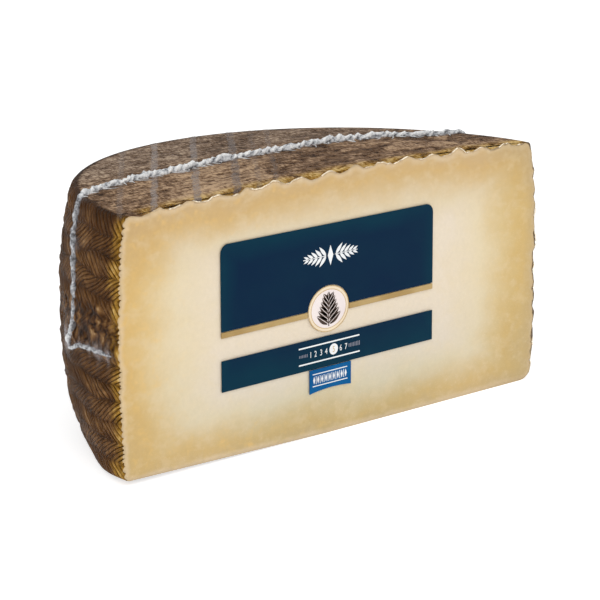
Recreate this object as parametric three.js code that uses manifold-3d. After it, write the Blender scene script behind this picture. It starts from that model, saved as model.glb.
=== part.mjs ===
// Half a wheel of aged sheep cheese, shrink-wrapped in clear film, standing on its flat face.
// Millimetres, +Z up. The cut face looks along -Y and its width runs along X.
// The film lies skin-tight on the cheese, so its gathered seam and its printed label are
// the parts of it with a shape of their own.

import * as THREE from "three";
import Module from "manifold-3d";

const wasm = await Module();
wasm.setup();

// The half wheel
const RADIUS = 100;
const HEIGHT = 95.6;
const CROWN = 2.3;
const RIM_HEIGHT = HEIGHT - CROWN;
const TOP_RECESS_AT_CUT = 4.0;
const TOP_RECESS_BEHIND = 6.3;
const TOP_RECESS_POWER = 3.1;
const BASE_RECESS_AT_CUT = 1.5;
const BASE_RECESS_BEHIND = 8.4;
const BASE_RECESS_POWER = 2.66;
const BULGE_ARC = THREE.MathUtils.degToRad(27);
const TOP_RIM_RADIUS = 1.5;
const BASE_RIM_RADIUS = 1.8;
const SOFT_CORNER_RADIUS = 5;
const SOFT_CORNER_ARC = THREE.MathUtils.degToRad(30);

// The mark of the plaited mould round the side, and of the cloth and boards on the top
const PLAIT_ROWS = 13;
const PLAIT_DEPTH = 0.8;
const STRAND_BUNDLE = 6.5;
const STRAND_DEPTH = 0.22;
const STRAND_SLOPE = 0.8;
const SCALLOP_PITCH = 12.7;
const SCALLOP_CREST_X = -43.6;
const SCALLOP_DEPTH = 0.75;
const SCALLOP_REACH = 6;
const LUMP_SIZE = 17;
const LUMP_DEPTH = 0.3;

// Facets of the half wheel: along the cut and back from it, with the rim's steps in millimetres
const FACETS_ALONG = 60;
const FACETS_BACK = 24;
const RIM_STEPS = [0, 0.25, 0.9, 2.0];

// The film's gathered seam
const SEAM_HEIGHT = 2.0;
const SEAM_WIDTH = 1.9;
const SEAM_STEP = 3.2;
const SEAM_SIDES = 7;
const SEAM_CRUMPLE = 0.45;
const FOLD_HEIGHT = 1.4;
const FOLD_LEVEL = 45;
const TOUCH_GAP = 0.3;

// The printed label, on the film over the cut face
const LABEL_THICKNESS = 0.3;
const LABEL_X = -5.4;
const LABEL_Z = 51.3;
const LABEL_RISE = 0.0055;
const LABEL_WIDTH = 101.2;
const LABEL_HEIGHT = 52.1;
const FIELD_HEIGHT = 30.4;
const FIELD_CORNER = 3.4;
const FIELD_LEFT_RAISED = 0.5;
const FIELD_RIGHT_LOWERED = 0.3;
const STRIPE_HEIGHT = 2.0;
const BAND_HEIGHT = 11.2;
const MEDALLION_X = -0.9;
const MEDALLION_DROP = 0.55;
const MEDALLION_WIDTH = 19.4;
const MEDALLION_HEIGHT = 16.9;
const TAG_LEFT = -10.0;
const TAG_WIDTH = 19.9;
const TAG_HEIGHT = 8.8;
const TAG_SLANT = 0.3;
const TAG_ARCH = 0.75;

const smooth = (x) => THREE.MathUtils.smoothstep(x, 0, 1);
const mix = THREE.MathUtils.lerp;

// A closed body as plain lists: points as [x, y, z] and triangles as [a, b, c]
function toManifold(body) {
  return new wasm.Manifold(
    new wasm.Mesh({
      numProp: 3,
      vertProperties: new Float32Array(body.points.flat()),
      triVerts: new Uint32Array(body.triangles.flat()),
    })
  );
}

function geometryOf(positions, indices) {
  const geometry = new THREE.BufferGeometry();
  geometry.setAttribute("position", new THREE.BufferAttribute(positions, 3));
  geometry.setIndex(new THREE.BufferAttribute(indices, 1));
  geometry.computeVertexNormals();
  return geometry;
}

function fromManifold(manifold) {
  const mesh = manifold.getMesh();
  return geometryOf(new Float32Array(mesh.vertProperties), new Uint32Array(mesh.triVerts));
}

// Smooth lumps from a few crossing waves, between -1 and 1
function lumps(x, y) {
  const u = x / LUMP_SIZE;
  const v = y / LUMP_SIZE;
  return (Math.sin(2.1 * u + 1.3 * v) + Math.sin(1.7 * v - 2.9 * u + 1.0) + Math.sin(4.3 * v + 0.7 * u)) / 3;
}

// Repeatable scatter between -1 and 1 for step number n
function scatter(n) {
  const value = Math.sin(n * 12.9898 + 4.1) * 43758.5453;
  return 2 * (value - Math.floor(value)) - 1;
}

// How far the point at this angle is from the cut: 0 at the cut, 1 past the bulge's arc
function awayFromCut(angle) {
  return smooth(Math.min(angle, Math.PI - angle) / BULGE_ARC);
}

// The quarter round of a rim takes this much off the radius at a distance from its edge
function rimInset(distance, radius) {
  const left = radius - Math.min(Math.max(distance, 0), radius);
  return radius - Math.sqrt(radius * radius - left * left);
}

// Ridges of the plait: rows round the side, each with strands that slant against its neighbours'
function plaitRelief(angle, z) {
  const rowHeight = RIM_HEIGHT / PLAIT_ROWS;
  const row = Math.min(Math.floor(z / rowHeight + 1e-6), PLAIT_ROWS - 1);
  const across = z / rowHeight - row;
  const ridge = Math.sin(Math.PI * across);
  const slant = row % 2 === 0 ? STRAND_SLOPE : -STRAND_SLOPE;
  const along = angle * RADIUS + slant * across * rowHeight + 3 * scatter(row);
  const strands = STRAND_DEPTH * ridge * Math.sin((2 * Math.PI * along) / STRAND_BUNDLE);
  const inside = smooth(Math.min(z, RIM_HEIGHT - z) / 3);
  const swell = LUMP_DEPTH * lumps(angle * RADIUS, z);
  return inside * (PLAIT_DEPTH * (ridge - 0.6) + strands + swell);
}

function sideRadius(angle, z) {
  const level = (2 * z) / HEIGHT - 1;
  const away = awayFromCut(angle);
  const recess =
    level > 0
      ? mix(TOP_RECESS_AT_CUT, TOP_RECESS_BEHIND, away) * level ** TOP_RECESS_POWER
      : mix(BASE_RECESS_AT_CUT, BASE_RECESS_BEHIND, away) * (-level) ** BASE_RECESS_POWER;
  const softness = smooth(1 - angle / SOFT_CORNER_ARC);
  const baseRim = mix(BASE_RIM_RADIUS, SOFT_CORNER_RADIUS, softness);
  return RADIUS - recess - rimInset(z, baseRim) - rimInset(RIM_HEIGHT - z, TOP_RIM_RADIUS);
}

function topHeight(x, y) {
  const angle = Math.atan2(y, x);
  const share = Math.hypot(x, y) / sideRadius(angle, RIM_HEIGHT);
  const inside = smooth((1 - share) * 8);
  const wave = Math.cos((2 * Math.PI * (x - SCALLOP_CREST_X)) / SCALLOP_PITCH);
  const scallop = SCALLOP_DEPTH * wave * Math.exp(-y / SCALLOP_REACH);
  return HEIGHT - CROWN * share * share + inside * (LUMP_DEPTH * lumps(x, y) + scallop);
}

// The half wheel, grown outward by the given amount
function halfWheel(grow) {
  const points = [];
  const triangles = [];
  const add = (x, y, z) => points.push([x, y, z]) - 1;
  const quad = (a, b, c, d) => triangles.push([a, b, c], [a, c, d]);

  // Levels of the side: close steps in both rims, then half rows of the plait
  const half = RIM_HEIGHT / PLAIT_ROWS / 2;
  const rows = Array.from({ length: 2 * PLAIT_ROWS - 1 }, (_, i) => (i + 1) * half);
  const lower = RIM_STEPS;
  const upper = RIM_STEPS.map((step) => RIM_HEIGHT - step).reverse();
  const levels = [...lower, ...rows, ...upper];

  // A square sheet of facets is bent into a half disc: u runs along the cut, v back from it
  const disc = (u, v) => [u * Math.sqrt(1 - (v * v) / 2), v * Math.sqrt(1 - (u * u) / 2)];
  const edge = [];
  for (let j = 0; j <= FACETS_BACK; j += 1) edge.push([1, j / FACETS_BACK]);
  for (let i = FACETS_ALONG - 1; i >= 0; i -= 1) edge.push([(2 * i) / FACETS_ALONG - 1, 1]);
  for (let j = FACETS_BACK - 1; j >= 0; j -= 1) edge.push([-1, j / FACETS_BACK]);
  const angles = edge.map(([u, v]) => Math.atan2(disc(u, v)[1], disc(u, v)[0]));

  // The side, ring by ring
  const rings = levels.map((level) =>
    angles.map((angle) => {
      const r = sideRadius(angle, level) + plaitRelief(angle, level) + grow;
      const onCut = angle < 1e-9 || angle > Math.PI - 1e-9;
      const z = level === 0 ? -grow : level === RIM_HEIGHT ? level + grow : level;
      return add(r * Math.cos(angle), onCut ? 0 : r * Math.sin(angle), z);
    })
  );
  for (let k = 0; k + 1 < rings.length; k += 1) {
    for (let i = 0; i + 1 < angles.length; i += 1) {
      quad(rings[k][i], rings[k][i + 1], rings[k + 1][i + 1], rings[k + 1][i]);
    }
  }

  // The top: its border is the side's last ring
  const border = new Map();
  edge.forEach(([u, v], i) => {
    const key = `${Math.round(((u + 1) * FACETS_ALONG) / 2)},${Math.round(v * FACETS_BACK)}`;
    border.set(key, rings[rings.length - 1][i]);
  });
  const top = [];
  for (let i = 0; i <= FACETS_ALONG; i += 1) {
    top.push([]);
    for (let j = 0; j <= FACETS_BACK; j += 1) {
      const shared = border.get(`${i},${j}`);
      if (shared !== undefined) {
        top[i].push(shared);
        continue;
      }
      const [dx, dy] = disc((2 * i) / FACETS_ALONG - 1, j / FACETS_BACK);
      const reach = sideRadius(Math.atan2(dy, dx), RIM_HEIGHT);
      top[i].push(add(dx * reach, dy * reach, topHeight(dx * reach, dy * reach) + grow));
    }
  }
  for (let i = 0; i < FACETS_ALONG; i += 1) {
    for (let j = 0; j < FACETS_BACK; j += 1) {
      quad(top[i][j], top[i + 1][j], top[i + 1][j + 1], top[i][j + 1]);
    }
  }

  // The flat base and the flat cut, each filled inside its outline
  const fill = (outline, axes, flip) => {
    const flat = outline.map((n) => new THREE.Vector2(points[n][axes[0]], points[n][axes[1]]));
    THREE.ShapeUtils.triangulateShape(flat, []).forEach(([a, b, c]) => {
      const corners = [outline[a], outline[b], outline[c]];
      triangles.push(flip ? corners.reverse() : corners);
    });
  };
  fill(rings[0], [0, 1], true);
  const rightSide = rings.map((ring) => ring[0]);
  const leftSide = rings.map((ring) => ring[ring.length - 1]).reverse();
  const topEdge = top.slice(1, -1).map((column) => column[0]).reverse();
  fill([...rightSide, ...topEdge, ...leftSide], [0, 2], false);
  return { points, triangles };
}

function cheeseMesh() {
  const body = halfWheel(0);
  const geometry = geometryOf(new Float32Array(body.points.flat()), new Uint32Array(body.triangles.flat()));
  const material = new THREE.MeshStandardMaterial({ color: 0xd9bf8c, roughness: 0.45, metalness: 0 });
  return named(new THREE.Mesh(geometry, material), "cheese");
}

// The seam starts near the cut as a low fold at half height, climbs the side, crosses the top
// and goes down the other side in the same way. A place on it is the turn about the middle of
// the height, 0 straight up and 90 to the right, and the distance back from the cut.
const SEAM_ROUTE = [
  [-91.3, 4],
  [-91.3, 11],
  [-91.5, 18],
  [-92.3, 27],
  [-94, 34.5],
  [-94.4, 38],
  [-92.6, 37],
  [-89.5, 32.5],
  [-84, 30.5],
  [-76, 31.3],
  [-69.5, 34],
  [-65, 35.3],
  [-62.3, 36.3],
  [-60, 39.3],
  [-56, 41],
  [-45, 41.4],
  [-28, 43.6],
  [-14, 43.8],
  [4, 45],
  [18, 44.3],
  [33, 44.5],
  [43, 43],
  [50, 40.5],
  [56, 37.3],
  [60, 31.5],
  [66, 29.5],
  [76, 30],
  [84, 31],
  [90, 34],
  [94, 38],
  [94.5, 34.5],
  [93, 26],
  [91.8, 16],
  [92.3, 5],
];

// Where the ray from the middle of the height leaves the half wheel
function onSurface(turnDegrees, y) {
  const turn = THREE.MathUtils.degToRad(turnDegrees);
  const at = (reach) => new THREE.Vector3(reach * Math.sin(turn), y, HEIGHT / 2 + reach * Math.cos(turn));
  const isInside = (p) => {
    const angle = Math.atan2(p.y, p.x);
    const level = Math.min(Math.max(p.z, 0), RIM_HEIGHT);
    return Math.hypot(p.x, p.y) < sideRadius(angle, level) && p.z < topHeight(p.x, p.y);
  };
  let near = 0;
  let far = 2 * RADIUS;
  for (let i = 0; i < 40; i += 1) {
    const middle = (near + far) / 2;
    if (isInside(at(middle))) near = middle;
    else far = middle;
  }
  return at(near);
}

// The way out of the half wheel at a point of its surface, rounded over the rims
function outward(p) {
  const r = Math.hypot(p.x, p.y) / RADIUS;
  const h = (2 * p.z) / HEIGHT - 1;
  const side = r ** 13 / Math.hypot(p.x, p.y);
  return new THREE.Vector3(side * p.x, side * p.y, Math.sign(h) * Math.abs(h) ** 13).normalize();
}

// The crumpled ridge of gathered film, sunk into the surface that it lies on
function seamRidge() {
  const control = new THREE.CatmullRomCurve3(SEAM_ROUTE.map(([turn, y]) => new THREE.Vector3(turn, y, 0)));
  const trace = control.getPoints(400).map((c) => onSurface(c.x, c.y));
  const path = new THREE.CatmullRomCurve3(trace, false, "centripetal");
  path.arcLengthDivisions = 800;
  const steps = Math.round(path.getLength() / SEAM_STEP);
  const points = [];
  const triangles = [];
  for (let k = 0; k <= steps; k += 1) {
    const share = k / steps;
    const place = path.getPointAt(share);
    const out = outward(place);
    const tangent = path.getTangentAt(share);
    const across = new THREE.Vector3().crossVectors(tangent, out).normalize();
    const height = mix(FOLD_HEIGHT, SEAM_HEIGHT, smooth((place.z - FOLD_LEVEL) / 5));
    const sway = SEAM_CRUMPLE * scatter(k);
    const tall = height * (1 + 0.22 * scatter(3 * k + 1));
    const wide = (SEAM_WIDTH / 2) * (1 + 0.3 * scatter(7 * k + 2));
    const taper = k === 0 || k === steps ? 0.5 : 1;
    for (let i = 0; i < SEAM_SIDES; i += 1) {
      const around = (2 * Math.PI * i) / SEAM_SIDES + Math.PI / 2;
      const side = sway + wide * taper * Math.cos(around);
      const up = tall * (0.35 + 0.65 * taper * Math.sin(around));
      const p = place.clone().addScaledVector(across, side).addScaledVector(out, up);
      points.push(p.toArray());
    }
  }
  const at = (k, i) => k * SEAM_SIDES + (i % SEAM_SIDES);
  for (let k = 0; k < steps; k += 1) {
    for (let i = 0; i < SEAM_SIDES; i += 1) {
      triangles.push([at(k, i), at(k + 1, i + 1), at(k, i + 1)], [at(k, i), at(k + 1, i), at(k + 1, i + 1)]);
    }
  }
  for (let i = 1; i + 1 < SEAM_SIDES; i += 1) {
    triangles.push([at(0, 0), at(0, i), at(0, i + 1)]);
    triangles.push([at(steps, 0), at(steps, i + 1), at(steps, i)]);
  }
  return toManifold({ points, triangles });
}

function seamMesh() {
  const seam = seamRidge().subtract(toManifold(halfWheel(TOUCH_GAP)));
  const material = new THREE.MeshStandardMaterial({ color: 0xd8d6d4, roughness: 0.3, metalness: 0 });
  return named(new THREE.Mesh(fromManifold(seam), material), "film_seam");
}

function named(mesh, name) {
  mesh.name = name;
  return mesh;
}

// A printed panel: an outline in the cut face's plane, x to the right and y up, made a thin plate.
// The film is stretched a little, so the print rises towards the right.
function panel(name, outline, colour) {
  const geometry = new THREE.ExtrudeGeometry(outline, {
    depth: LABEL_THICKNESS,
    bevelEnabled: false,
    curveSegments: 12,
  });
  geometry.rotateX(Math.PI / 2);
  geometry.applyMatrix4(new THREE.Matrix4().makeShear(0, LABEL_RISE, 0, 0, 0, 0));
  const material = new THREE.MeshStandardMaterial({ color: colour, roughness: 0.25, metalness: 0 });
  return named(new THREE.Mesh(geometry, material), name);
}

function rectangle(left, right, bottom, top) {
  const shape = new THREE.Shape();
  shape.moveTo(left, bottom);
  shape.lineTo(right, bottom);
  shape.lineTo(right, top);
  shape.lineTo(left, top);
  return shape;
}

function labelPanels() {
  const left = -LABEL_WIDTH / 2;
  const right = LABEL_WIDTH / 2;
  const top = LABEL_HEIGHT / 2;
  const bottom = -LABEL_HEIGHT / 2;
  const fieldBottom = top - FIELD_HEIGHT;
  const bite = MEDALLION_WIDTH / 2 + TOUCH_GAP;
  const biteHeight = MEDALLION_HEIGHT / 2 + TOUCH_GAP;
  const biteStart = Math.asin(MEDALLION_DROP / biteHeight);
  const medallionZ = fieldBottom - MEDALLION_DROP;

  const leftTop = top + FIELD_LEFT_RAISED;
  const rightTop = top - FIELD_RIGHT_LOWERED;
  const field = new THREE.Shape();
  field.moveTo(left, fieldBottom);
  field.lineTo(MEDALLION_X - bite * Math.cos(biteStart), fieldBottom);
  field.absellipse(MEDALLION_X, medallionZ, bite, biteHeight, Math.PI - biteStart, biteStart, true, 0);
  field.lineTo(right, fieldBottom);
  field.absarc(right - FIELD_CORNER, rightTop - FIELD_CORNER, FIELD_CORNER, 0, Math.PI / 2, false);
  field.absarc(left + FIELD_CORNER, leftTop - FIELD_CORNER, FIELD_CORNER, Math.PI / 2, Math.PI, false);

  const stripeTop = fieldBottom - TOUCH_GAP;
  const stripeBottom = stripeTop - STRIPE_HEIGHT;
  const stripeLeft = rectangle(left, MEDALLION_X - bite, stripeBottom, stripeTop);
  const stripeRight = rectangle(MEDALLION_X + bite, right, stripeBottom, stripeTop);
  const band = rectangle(left, right, bottom, bottom + BAND_HEIGHT);

  const halfWidth = MEDALLION_WIDTH / 2;
  const halfHeight = MEDALLION_HEIGHT / 2;
  const medallion = new THREE.Shape();
  medallion.absellipse(MEDALLION_X, medallionZ, halfWidth, halfHeight, 0, 2 * Math.PI, false, 0);

  const tagTop = bottom - TOUCH_GAP;
  const tagFoot = tagTop - TAG_HEIGHT;
  const tagMiddle = TAG_LEFT + TAG_WIDTH / 2;
  const tagRise = tagFoot + TAG_SLANT / 2 + 2 * TAG_ARCH;
  const tag = new THREE.Shape();
  tag.moveTo(TAG_LEFT, tagFoot);
  tag.quadraticCurveTo(tagMiddle, tagRise, TAG_LEFT + TAG_WIDTH, tagFoot + TAG_SLANT);
  tag.lineTo(TAG_LEFT + TAG_WIDTH, tagTop);
  tag.lineTo(TAG_LEFT, tagTop);

  const label = new THREE.Group();
  label.position.set(LABEL_X, -TOUCH_GAP, LABEL_Z);
  label.add(
    panel("label_field", field, 0x15305a),
    panel("label_stripe_left", stripeLeft, 0xb8965a),
    panel("label_stripe_right", stripeRight, 0xb8965a),
    panel("label_medallion", medallion, 0xe9e0cf),
    panel("label_band", band, 0x14304f),
    panel("label_tag", tag, 0x186296)
  );
  return label;
}

// The origin is under the middle of the whole, on the surface that it stands on
const pack = new THREE.Group();
pack.add(cheeseMesh(), seamMesh(), labelPanels());
pack.updateMatrixWorld(true);
const bounds = new THREE.Box3().setFromObject(pack, true);
pack.position.set(
  -(bounds.min.x + bounds.max.x) / 2,
  -(bounds.min.y + bounds.max.y) / 2,
  -bounds.min.z
);

const part = new THREE.Group();
part.add(pack);
part.updateMatrixWorld(true);

export default part;
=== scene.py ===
import math

import bmesh
import bpy
import numpy as np
from mathutils import Matrix, Vector
from mathutils.geometry import delaunay_2d_cdt


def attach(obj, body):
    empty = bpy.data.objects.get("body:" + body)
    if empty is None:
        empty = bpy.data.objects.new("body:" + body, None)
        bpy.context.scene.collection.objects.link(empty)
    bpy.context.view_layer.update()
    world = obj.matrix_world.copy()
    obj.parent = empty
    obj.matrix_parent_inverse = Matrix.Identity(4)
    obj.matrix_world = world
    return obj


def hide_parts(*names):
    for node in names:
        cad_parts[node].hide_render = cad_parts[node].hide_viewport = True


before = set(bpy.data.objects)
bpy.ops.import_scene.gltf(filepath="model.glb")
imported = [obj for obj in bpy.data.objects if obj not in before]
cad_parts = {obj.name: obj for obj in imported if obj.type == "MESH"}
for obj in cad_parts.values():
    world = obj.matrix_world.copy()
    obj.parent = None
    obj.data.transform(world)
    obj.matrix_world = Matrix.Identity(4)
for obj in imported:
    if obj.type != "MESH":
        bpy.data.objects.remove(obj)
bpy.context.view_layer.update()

# Lengths are in millimetres, about the wheel's axis, with the cut face at y = 0 and z up
MM = 0.001
AXIS = np.array([-0.064, -49.902, 0.0])

# The half wheel, as in the CAD source
RADIUS = 100.0
HEIGHT = 95.6
CROWN = 2.3
RIM_HEIGHT = HEIGHT - CROWN
TOP_RECESS_AT_CUT = 4.0
TOP_RECESS_BEHIND = 6.3
TOP_RECESS_POWER = 3.1
BASE_RECESS_AT_CUT = 1.5
BASE_RECESS_BEHIND = 8.4
BASE_RECESS_POWER = 2.66
BULGE_ARC = math.radians(27)
TOP_RIM_RADIUS = 1.5
BASE_RIM_RADIUS = 1.8
SOFT_CORNER_RADIUS = 5.0
SOFT_CORNER_ARC = math.radians(30)
PLAIT_ROWS = 13
PLAIT_DEPTH = 0.8
LUMP_SIZE = 17.0
LUMP_DEPTH = 0.3
SCALLOP_PITCH = 12.7
SCALLOP_CREST_X = -43.6
SCALLOP_DEPTH = 0.75
SCALLOP_REACH = 6.0
ROW_HEIGHT = RIM_HEIGHT / PLAIT_ROWS

# The base's lift at the left foot of the cut, and how far along, back and up it reaches
FOOT_CLEARANCE = 1.7
FOOT_START = 8.0
FOOT_REACH = 90.0
FOOT_DEPTH = 26.0
FOOT_TOP = 45.0

# The strands pressed into the rind
STRAND_PITCH = 2.9
STRAND_COLUMNS = 6
LEAN_EVEN_ROWS = 1.0
LEAN_ODD_ROWS = 1.7
STRAND_DEPTH = 0.4
STRAND_DEPTH_AT_CUT = 1.3
STRAND_PROFILE = np.array([0.0, 0.68, 0.95, 1.0, 0.92, 0.6])
BUNDLE_STRANDS = 4
BUNDLE_DEPTH = 0.2

# The crumpled patch: where it starts and thins out round the side, its levels and its relief
CRUSHED_START = 250.0
CRUSHED_FADE = 309.0
CRUSHED_LOW = 42.0
CRUSHED_HIGH = 63.0
CRUMPLE_HEIGHT = 0.75

# Spacing of the points on the top, the cut and the base, and the film's distance from them
EDGE_STEP = 0.6
EDGE_GAP = 0.6
BASE_SPACING = 4.0
CUT_EDGE_SPACING = 1.3
CUT_EDGE_DEPTH = 16.0
TRIANGLE_RISE = 0.866
FILM_GAP = 0.16

# The faces of a closed body, in the order of its materials
SIDE, TOP, CUT, BASE = range(4)

# The gold band inside the rind is narrower above and below than at the sides
BAND_SQUEEZE = 1.9

# The label, as in the CAD source
LABEL_X = -5.4
LABEL_Z = 51.3
LABEL_RISE = 0.0055
LABEL_WIDTH = 101.2
LABEL_HEIGHT = 52.1
MEDALLION_U = -0.9
MEDALLION_V = -4.9
MEDALLION_WIDTH = 19.4
MEDALLION_HEIGHT = 16.9
LABEL_FRONT = 0.6

# The print: how far it stands out, its numerals, and its places from the label's middle
PRINT_LIFT = 0.05
SCALE_V = -20.3
MARK_U = 1.5
DIGIT_SIZE = 3.15
ORNAMENT_V = 14.7
TAG_V = -30.25

# The camera, fitted to the cheese's outline and the label's edges in the photograph
CAMERA_TURN = math.radians(41.307)
CAMERA_TILT = math.radians(14.668)
CAMERA_ROLL = math.radians(0.193)
CAMERA_DISTANCE = 932.6
CAMERA_TARGET = np.array([-19.375, 0.0, 51.766])
SENSOR_WIDTH = 36

# In pixels: the camera's focal length and the photograph's width
CAMERA_FOCUS = 2638.2
PHOTO_WIDTH = 600

# The floor's half width, in metres, as the lights' places are
FLOOR_REACH = 6.0


def smooth(x):
    x = np.clip(x, 0.0, 1.0)
    return x * x * (3 - 2 * x)


def mix(a, b, share):
    return a + (b - a) * share


def hashed(i, j, seed=0):
    """Repeatable scatter between 0 and 1 for a pair of whole numbers."""
    value = np.sin(i * 127.1 + j * 311.7 + seed * 74.7) * 43758.5453
    return value - np.floor(value)


def noise(x, y, seed=0):
    """Soft waves between -1 and 1 with features one unit across."""
    i, j = np.floor(x), np.floor(y)
    u, v = smooth(x - i), smooth(y - j)
    low = mix(hashed(i, j, seed), hashed(i + 1, j, seed), u)
    high = mix(hashed(i, j + 1, seed), hashed(i + 1, j + 1, seed), u)
    return 2 * mix(low, high, v) - 1


def hump(x, middle, half):
    """1 at the middle, falling off smoothly on both sides."""
    return np.exp(-(((x - middle) / half) ** 2))


def ripple(x, size, seed):
    """Soft waves along a line, with features of this size."""
    return noise(x / size, x * 0, seed)


def away_from_cut(angle):
    return smooth(np.minimum(angle, math.pi - angle) / BULGE_ARC)


def rim_inset(distance, radius):
    left = radius - np.clip(distance, 0, radius)
    return radius - np.sqrt(np.maximum(radius * radius - left * left, 0))


def side_radius(angle, z):
    level = 2 * z / HEIGHT - 1
    away = away_from_cut(angle)
    top = mix(TOP_RECESS_AT_CUT, TOP_RECESS_BEHIND, away) * np.abs(level) ** TOP_RECESS_POWER
    base = mix(BASE_RECESS_AT_CUT, BASE_RECESS_BEHIND, away) * np.abs(level) ** BASE_RECESS_POWER
    base_rim = mix(BASE_RIM_RADIUS, SOFT_CORNER_RADIUS, smooth(1 - angle / SOFT_CORNER_ARC))
    recess = np.where(level > 0, top, base)
    return RADIUS - recess - rim_inset(z, base_rim) - rim_inset(RIM_HEIGHT - z, TOP_RIM_RADIUS)


def lumps(x, y):
    u, v = x / LUMP_SIZE, y / LUMP_SIZE
    waves = np.sin(2.1 * u + 1.3 * v) + np.sin(1.7 * v - 2.9 * u + 1.0) + np.sin(4.3 * v + 0.7 * u)
    return waves / 3


def scallop(x, y):
    turn = 2 * math.pi * (x - SCALLOP_CREST_X) / SCALLOP_PITCH
    return np.cos(turn + 0.35 * np.sin(turn)) * np.exp(-y / SCALLOP_REACH)


def top_height(x, y):
    share = np.hypot(x, y) / side_radius(np.arctan2(y, x), RIM_HEIGHT)
    inside = smooth((1 - share) * 8)
    relief = LUMP_DEPTH * lumps(x, y) + SCALLOP_DEPTH * scallop(x, y)
    return HEIGHT - CROWN * share**2 + inside * relief


def row_of(z):
    """The plait's row at a level, and the share of the row's height that lies below it."""
    row = np.minimum(np.floor(z / ROW_HEIGHT + 1e-6), PLAIT_ROWS - 1)
    return row, z / ROW_HEIGHT - row


def ridge_of(across):
    """A row's rounded profile, from 0 at its borders to 1 along its middle."""
    return np.sin(math.pi * np.clip(across, 0, 1)) ** 0.75


def within_rims(z, reach):
    """0 at the side's upper and lower rim, and 1 from this far inside them."""
    return smooth(np.minimum(z, RIM_HEIGHT - z) / reach)


def row_depth(angle):
    """The rows stand out where the cut crosses them on the right, and less all round."""
    return mix(0.45, PLAIT_DEPTH, smooth(1 - angle / 0.35))


def rows_relief(along, z, across):
    """The plait's rows and the side's slow lumps."""
    return row_depth(along / RADIUS) * (ridge_of(across) - 0.6) + LUMP_DEPTH * lumps(along, z)


def raise_foot(points):
    """The cheese sags a little at the middle of its base: the cut's left foot stands just clear."""
    x, y, z = points[:, 0], points[:, 1], points[:, 2]
    share = np.clip((-x - FOOT_START) / FOOT_REACH, 0, 1) * smooth(1 - y / FOOT_DEPTH)
    points[:, 2] = z + FOOT_CLEARANCE * share * np.clip(1 - z / FOOT_TOP, 0, 1)
    return points


def lean(row, across):
    """How far a strand has moved along the side at a level, as rows lean one way and the other."""
    here = np.where(row % 2 == 0, -LEAN_EVEN_ROWS, LEAN_ODD_ROWS) * across
    return ROW_HEIGHT * (LEAN_ODD_ROWS * np.floor(row / 2) - LEAN_EVEN_ROWS * np.ceil(row / 2) + here)


def wander(along, z):
    """How far the rows rise and sink as they run round the side."""
    inside = within_rims(z, 8) * smooth(along / 12)
    return inside * (1.3 * noise(along / 12, z / 10, 71) + 0.5 * noise(along / 5, z / 6, 72))


def right_waves(angle, z):
    """Uneven bulges of the rind where the cut crosses it on the right."""
    return (0.5 * ripple(z, 7.5, 81) + 0.22 * ripple(z, 3.1, 82)) * smooth(1 - angle / 0.14)


def crushed(along, z):
    """Where the rind is crumpled under the gathered film, low on the left."""
    levels = smooth((z - CRUSHED_LOW) / 4) * smooth((CRUSHED_HIGH - z) / 5)
    round_side = smooth((along - CRUSHED_START) / 22) * mix(1.0, 0.6, smooth((along - CRUSHED_FADE) / 4))
    return levels * round_side * smooth(0.9 + 0.6 * noise(along / 7, z / 5, 3))


def crumples(along, z):
    """The sharp folds of the crushed patch, between -1 and 1."""
    return 1 - 2 * np.abs(noise(along / 3.4 + z / 5, z / 4.2, 5))


# Meshes


def new_object(name, points, faces, materials, material_index=None):
    mesh = bpy.data.meshes.new(name)
    places = (np.asarray(points) + AXIS) * MM
    mesh.from_pydata(places.tolist(), [], [list(map(int, face)) for face in faces])
    for material in materials:
        mesh.materials.append(material)
    if material_index is not None:
        mesh.polygons.foreach_set("material_index", np.asarray(material_index, dtype=np.int32))
    mesh.polygons.foreach_set("use_smooth", np.ones(len(mesh.polygons), dtype=bool))
    mesh.validate()
    mesh.update()
    piece = bpy.data.objects.new(name, mesh)
    bpy.context.scene.collection.objects.link(piece)
    return piece


def set_attribute(piece, name, values):
    layer = piece.data.attributes.new(name, "FLOAT", "POINT")
    layer.data.foreach_set("value", np.asarray(values, dtype=np.float32))


def with_column(places, number):
    """The places with one more coordinate, the same for all of them."""
    return np.column_stack([places, np.full(len(places), number)])


def clip_at_cut(points, faces, values):
    """Trim a sheet at the plane of the cut, carrying its values along."""
    bm = bmesh.new()
    layers = [bm.verts.layers.float.new(str(k)) for k in range(len(values))]
    verts = []
    for n, place in enumerate(points.tolist()):
        vert = bm.verts.new(place)
        for layer, value in zip(layers, values):
            vert[layer] = float(value[n])
        verts.append(vert)
    for face in faces.tolist():
        bm.faces.new([verts[n] for n in face])
    everything = bm.verts[:] + bm.edges[:] + bm.faces[:]
    bmesh.ops.bisect_plane(
        bm, geom=everything, dist=1e-5, plane_co=(0, 0, 0), plane_no=(0, 1, 0), clear_inner=True
    )
    bm.verts.index_update()
    new_points = np.array([vert.co[:] for vert in bm.verts])
    new_values = [np.array([vert[layer] for vert in bm.verts]) for layer in layers]
    new_faces = [[vert.index for vert in face.verts] for face in bm.faces]
    bm.free()
    new_points[np.abs(new_points[:, 1]) < 1e-4, 1] = 0.0
    return new_points, new_faces, new_values


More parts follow.
